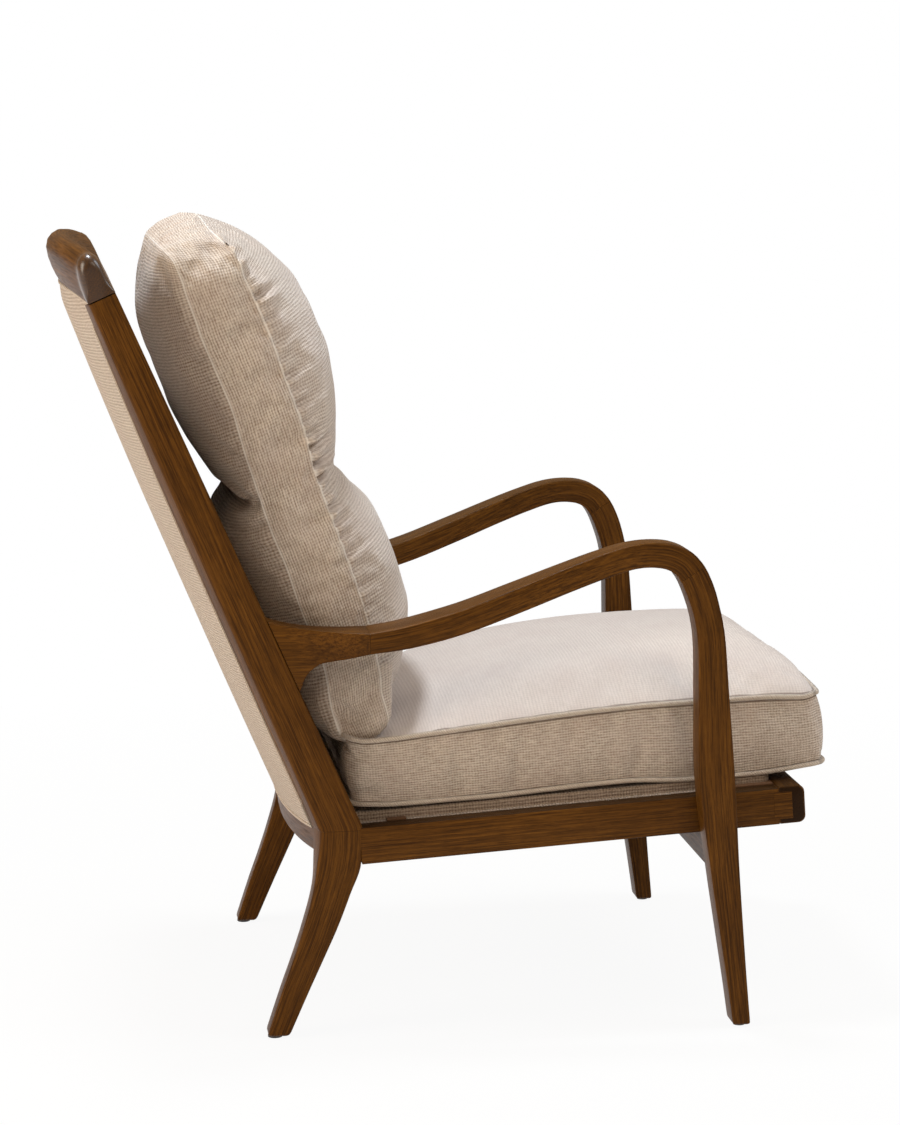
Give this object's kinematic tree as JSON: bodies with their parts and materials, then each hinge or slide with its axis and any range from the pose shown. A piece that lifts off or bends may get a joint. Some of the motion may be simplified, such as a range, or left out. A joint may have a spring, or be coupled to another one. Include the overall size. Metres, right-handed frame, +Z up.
{
  "type": "fireside chair",
  "caption": "Fireside chair with a raked, bowed upholstered back, sculpted show-wood arms that run into the front legs, and loose piped seat and waisted back cushions.",
  "frame": {"origin": "on the floor, under the middle of the chair's bounding box", "axes": "+Z up, the sitter faces -Y, +X is the sitter's left"},
  "size_m": [0.676, 0.9662, 1.0159],
  "materials": {
    "show_wood": "satin walnut stain over open grain",
    "hidden_wood": "unfinished beech",
    "cover_fabric": "ribbed greige tweed",
    "piping_fabric": "self piping of the same tweed",
    "webbing": "woven elastic webbing",
    "dust_cloth": "thin black lining cloth",
    "screw_steel": "plain",
    "glide_nylon": "dark nylon"
  },
  "bodies": {
    "frame": {"back_post_left": "show_wood", "rear_leg_left": "show_wood", "side_rail_left": "show_wood", "front_leg_left": "show_wood", "arm_left": "show_wood", "arm_bracket_left": "show_wood", "corner_block_front_left": "hidden_wood", "crest_dowel_left": "hidden_wood", "post_dowel_left": "hidden_wood", "side_rail_dowel_left": "hidden_wood", "arm_dowel_front_left": "hidden_wood", "arm_dowel_rear_left": "hidden_wood", "stretcher_dowel_left": "hidden_wood", "rear_rail_dowel_left": "hidden_wood", "leg_screw_left": "screw_steel", "foot_glide_front_left": "glide_nylon", "foot_glide_rear_left": "glide_nylon", "back_post_right": "show_wood", "rear_leg_right": "show_wood", "side_rail_right": "show_wood", "front_leg_right": "show_wood", "arm_right": "show_wood", "arm_bracket_right": "show_wood", "corner_block_front_right": "hidden_wood", "crest_dowel_right": "hidden_wood", "post_dowel_right": "hidden_wood", "side_rail_dowel_right": "hidden_wood", "arm_dowel_front_right": "hidden_wood", "arm_dowel_rear_right": "hidden_wood", "stretcher_dowel_right": "hidden_wood", "rear_rail_dowel_right": "hidden_wood", "leg_screw_right": "screw_steel", "foot_glide_front_right": "glide_nylon", "foot_glide_rear_right": "glide_nylon", "top_rail": "show_wood", "rear_seat_rail": "show_wood", "front_rail": "show_wood", "front_stretcher": "show_wood", "rear_cross_rail": "hidden_wood", "rear_panel": "cover_fabric", "front_pad": "cover_fabric", "seat_deck": "cover_fabric", "rear_panel_welt": "piping_fabric", "back_strap_1": "webbing", "back_strap_2": "webbing", "back_strap_3": "webbing", "seat_strap_1": "webbing", "seat_strap_2": "webbing", "seat_strap_3": "webbing", "seat_strap_4": "webbing", "seat_strap_5": "webbing", "dust_cover": "dust_cloth"},
    "seat_cushion": {"seat_cushion": "cover_fabric", "seat_cushion_piping_top": "piping_fabric", "seat_cushion_piping_foot": "piping_fabric"},
    "back_cushion": {"back_cushion": "cover_fabric"}
  },
  "joints": [
    {"name": "seat_cushion_slide", "type": "slide", "parent": "frame", "child": "seat_cushion", "axis": [0, -0.9982, 0.06], "range_m": [0, 0.65]},
    {"name": "back_cushion_slide", "type": "slide", "parent": "frame", "child": "back_cushion", "axis": [0, 0.4003, 0.9164], "range_m": [0, 0.7]}
  ]
}
